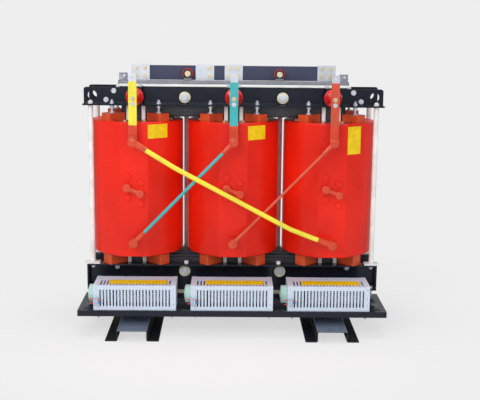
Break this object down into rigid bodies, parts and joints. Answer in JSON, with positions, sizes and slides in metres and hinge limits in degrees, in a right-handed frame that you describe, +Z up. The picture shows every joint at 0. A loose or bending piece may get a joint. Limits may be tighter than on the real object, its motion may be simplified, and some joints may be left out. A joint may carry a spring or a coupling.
{
  "type": "dry-type power transformer",
  "caption": "Three-phase dry-type transformer with red cast coils in a black clamped frame, terminal bars above and blowers on a tray in front.",
  "frame": {"origin": "on the floor under the axis of the middle coil, at the centre of the bounding box's base", "axes": "+X along the row of coils, +Y from the high-voltage side to the low-voltage side, +Z up"},
  "size_m": [1.66, 1.12, 1.42],
  "materials": {
    "core_steel": "dull varnish over cut sheet edges",
    "frame_black": "satin paint",
    "galvanised": "dull zinc",
    "zinc_bolts": "zinc plate",
    "brass_bolts": "plated",
    "pad_cream": "matt",
    "white_sleeve": "satin",
    "cast_resin": "satin",
    "winding_resin": "satin",
    "duct_laminate": "matt",
    "block_resin": "satin",
    "insulator_resin": "gloss",
    "tinned_bar": "tinned copper",
    "sleeve_yellow": "satin",
    "sleeve_green": "satin",
    "sleeve_red": "satin",
    "boot_resin": "satin",
    "board_laminate": "satin",
    "fan_sheet": "satin paint",
    "impeller_aluminium": "matt",
    "motor_paint": "satin paint"
  },
  "bodies": {
    "transformer": {"core_top_yoke": "core_steel", "core_bottom_yoke": "core_steel", "core_limb_left": "core_steel", "core_limb_middle": "core_steel", "core_limb_right": "core_steel", "upper_clamp_front": "frame_black", "upper_clamp_rear": "frame_black", "lower_clamp_front": "frame_black", "lower_clamp_rear": "frame_black", "base_rail_left": "frame_black", "base_rail_right": "frame_black", "base_beam_front": "frame_black", "base_beam_rear": "frame_black", "hv_brackets": "frame_black", "fan_tray": "frame_black", "lv_post_lugs": "frame_black", "lv_support_bar": "galvanised", "frame_bolts": "zinc_bolts", "core_bolts": "zinc_bolts", "block_studs": "zinc_bolts", "terminal_bolts": "brass_bolts", "base_pads": "pad_cream", "core_bolt_washers": "pad_cream", "tie_rods": "white_sleeve", "tie_rod_feet": "white_sleeve", "limb_struts": "white_sleeve", "yoke_cover": "white_sleeve", "hv_coil_left": "cast_resin", "hv_coil_middle": "cast_resin", "hv_coil_right": "cast_resin", "lv_coil_left": "winding_resin", "lv_coil_middle": "winding_resin", "lv_coil_right": "winding_resin", "duct_spacers": "duct_laminate", "support_blocks": "block_resin", "hv_insulators": "insulator_resin", "lv_post_insulators": "insulator_resin", "hv_bar_left": "tinned_bar", "hv_bar_middle": "tinned_bar", "hv_bar_right": "tinned_bar", "lv_lead_left": "tinned_bar", "lv_lead_middle": "tinned_bar", "lv_lead_right": "tinned_bar", "lv_neutral_bar": "tinned_bar", "hv_sleeve_left": "sleeve_yellow", "delta_rod_yellow": "sleeve_yellow", "hv_sleeve_middle": "sleeve_green", "delta_rod_green": "sleeve_green", "hv_sleeve_right": "sleeve_red", "delta_rod_red": "sleeve_red", "tap_links": "sleeve_red", "heat_shrink_boots": "boot_resin", "lv_board": "board_laminate", "fan_housing_left": "fan_sheet", "fan_housing_middle": "fan_sheet", "fan_housing_right": "fan_sheet", "fan_motors": "motor_paint"},
    "impeller_left": {"fan_impeller_left": "impeller_aluminium"},
    "impeller_middle": {"fan_impeller_middle": "impeller_aluminium"},
    "impeller_right": {"fan_impeller_right": "impeller_aluminium"}
  },
  "joints": [
    {"name": "left_fan_spin", "type": "hinge", "parent": "transformer", "child": "impeller_left", "pos_m": [-0.524, -0.353, 0.206], "axis": [1, 0, 0], "continuous": true},
    {"name": "middle_fan_spin", "type": "hinge", "parent": "transformer", "child": "impeller_middle", "pos_m": [-0.0035, -0.353, 0.206], "axis": [1, 0, 0], "continuous": true},
    {"name": "right_fan_spin", "type": "hinge", "parent": "transformer", "child": "impeller_right", "pos_m": [0.517, -0.353, 0.206], "axis": [1, 0, 0], "continuous": true}
  ]
}
